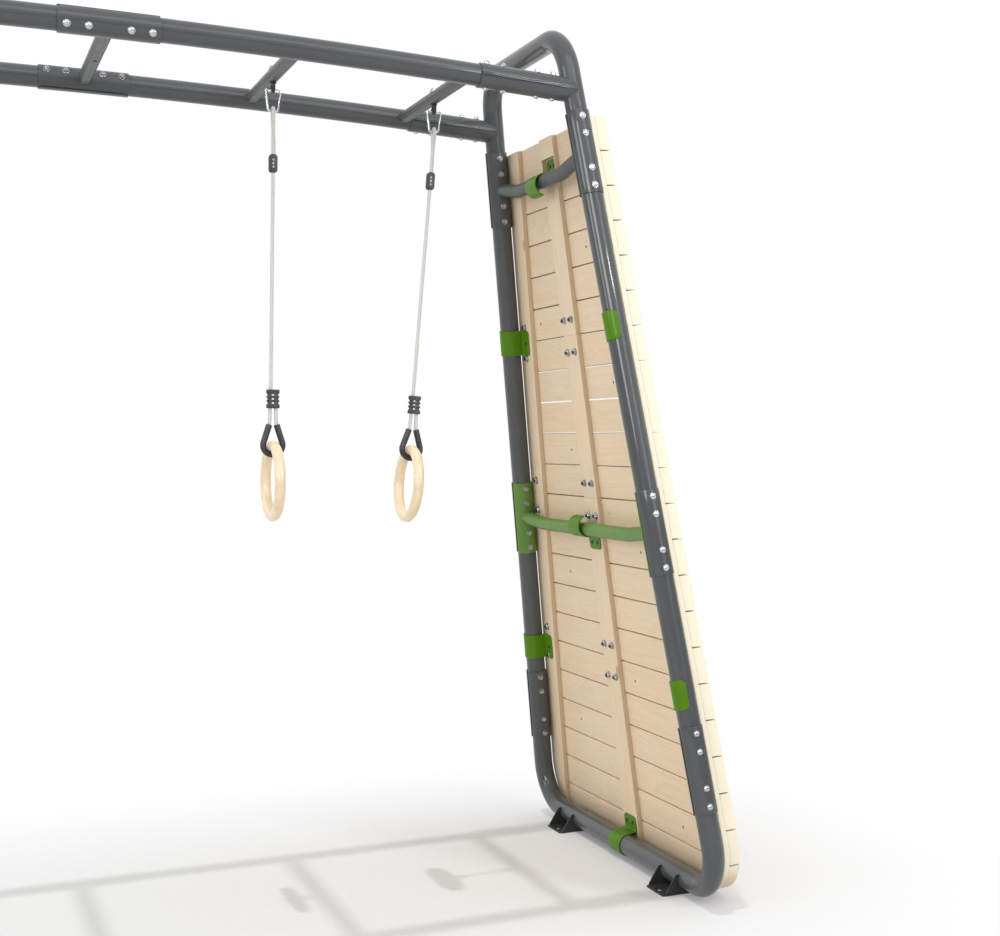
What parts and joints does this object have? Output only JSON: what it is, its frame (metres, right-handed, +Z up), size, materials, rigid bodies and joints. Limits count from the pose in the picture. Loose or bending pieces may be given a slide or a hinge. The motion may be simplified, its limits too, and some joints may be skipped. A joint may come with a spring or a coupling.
{
  "type": "monkey bars",
  "caption": "Arched tube ladder on two leaning end frames, with hanging gym rings and a plank climbing wall on one end.",
  "frame": {"origin": "on the ground, under the middle of the whole outline", "axes": "+X along the ladder, towards the climbing wall; +Y across it; +Z up"},
  "size_m": [3.147, 1.2752, 2.4228],
  "materials": {
    "dark_powder_coat": "satin dark grey powder coat",
    "green_powder_coat": "gloss green powder coat",
    "pale_green_powder_coat": "gloss light green powder coat",
    "black_steel": "satin black paint",
    "bright_steel": "polished wire",
    "black_plastic": "matt moulded",
    "rope": "braided synthetic fibre",
    "pine": "planed softwood",
    "ring_wood": "sanded and varnished"
  },
  "bodies": {
    "frame": {"wall_bottom_hoop": "dark_powder_coat", "wall_top_hoop": "dark_powder_coat", "wall_upper_crossbar": "dark_powder_coat", "wall_middle_crossbar": "pale_green_powder_coat", "wall_lower_upright_far": "dark_powder_coat", "wall_upper_upright_far": "dark_powder_coat", "wall_lower_upright_near": "dark_powder_coat", "wall_upper_upright_near": "dark_powder_coat", "plain_bottom_hoop": "dark_powder_coat", "plain_top_hoop": "dark_powder_coat", "plain_upper_crossbar": "dark_powder_coat", "plain_middle_crossbar": "pale_green_powder_coat", "plain_lower_upright_near": "dark_powder_coat", "plain_upper_upright_near": "dark_powder_coat", "plain_lower_upright_far": "dark_powder_coat", "plain_upper_upright_far": "dark_powder_coat", "wall_foot_far": "black_steel", "wall_foot_near": "black_steel", "plain_foot_near": "black_steel", "plain_foot_far": "black_steel", "rail_wall_far": "dark_powder_coat", "rail_plain_far": "dark_powder_coat", "splice_shell_far": "dark_powder_coat", "rail_bracket_wall_far": "dark_powder_coat", "rail_bracket_plain_far": "dark_powder_coat", "rail_wall_near": "dark_powder_coat", "rail_plain_near": "dark_powder_coat", "splice_shell_near": "dark_powder_coat", "rail_bracket_wall_near": "dark_powder_coat", "rail_bracket_plain_near": "dark_powder_coat", "middle_rung": "dark_powder_coat", "rung_plain_outer": "dark_powder_coat", "rung_plain_inner": "dark_powder_coat", "rung_wall_inner": "dark_powder_coat", "rung_wall_outer": "dark_powder_coat", "wall_section_bottom": "pine", "wall_section_lower": "pine", "wall_section_upper": "pine", "wall_section_top": "pine", "clamp_lower_far": "green_powder_coat", "clamp_lower_near": "green_powder_coat", "clamp_upper_far": "green_powder_coat", "clamp_upper_near": "green_powder_coat", "clamp_bottom_tube": "green_powder_coat", "clamp_middle_crossbar": "green_powder_coat", "clamp_upper_crossbar": "green_powder_coat"},
    "hook_1": {"spring_hook_1": "bright_steel"},
    "gate_1": {"hook_gate_1": "bright_steel"},
    "rope_set_1": {"rope_1": "rope", "upper_adjuster_1": "black_plastic", "lower_adjuster_1": "black_plastic", "hose_loop_1": "black_plastic"},
    "ring_1": {"gym_ring_1": "ring_wood"},
    "hook_2": {"spring_hook_2": "bright_steel"},
    "gate_2": {"hook_gate_2": "bright_steel"},
    "rope_set_2": {"rope_2": "rope", "upper_adjuster_2": "black_plastic", "lower_adjuster_2": "black_plastic", "hose_loop_2": "black_plastic"},
    "ring_2": {"gym_ring_2": "ring_wood"}
  },
  "joints": [
    {"name": "hook_1_swing", "type": "hinge", "parent": "frame", "child": "hook_1", "pos_m": [0.4195, 0, 2.2146], "axis": [0, 1, 0], "range_deg": [-15, 50]},
    {"name": "gate_1_spring", "type": "hinge", "parent": "hook_1", "child": "gate_1", "pos_m": [0.4341, 0, 2.1747], "axis": [0, 1, 0], "range_deg": [-12, 0], "stiffness_Nm_per_rad": 0.05},
    {"name": "rope_1_sway", "type": "hinge", "parent": "hook_1", "child": "rope_set_1", "pos_m": [0.4195, 0, 2.1629], "axis": [1, 0, 0], "range_deg": [-45, 45]},
    {"name": "ring_1_tilt", "type": "hinge", "parent": "rope_set_1", "child": "ring_1", "pos_m": [0.4195, 0, 1.2485], "axis": [0, 1, 0], "range_deg": [-40, 40]},
    {"name": "hook_2_swing", "type": "hinge", "parent": "frame", "child": "hook_2", "pos_m": [0.8745, 0, 2.2004], "axis": [0, 1, 0], "range_deg": [-18, 13]},
    {"name": "gate_2_spring", "type": "hinge", "parent": "hook_2", "child": "gate_2", "pos_m": [0.8891, 0, 2.1605], "axis": [0, 1, 0], "range_deg": [-12, 0], "stiffness_Nm_per_rad": 0.05},
    {"name": "rope_2_sway", "type": "hinge", "parent": "hook_2", "child": "rope_set_2", "pos_m": [0.8745, 0, 2.1487], "axis": [1, 0, 0], "range_deg": [-45, 45]},
    {"name": "ring_2_tilt", "type": "hinge", "parent": "rope_set_2", "child": "ring_2", "pos_m": [0.8075, 0, 1.2367], "axis": [0, 1, 0], "range_deg": [-40, 40]}
  ]
}
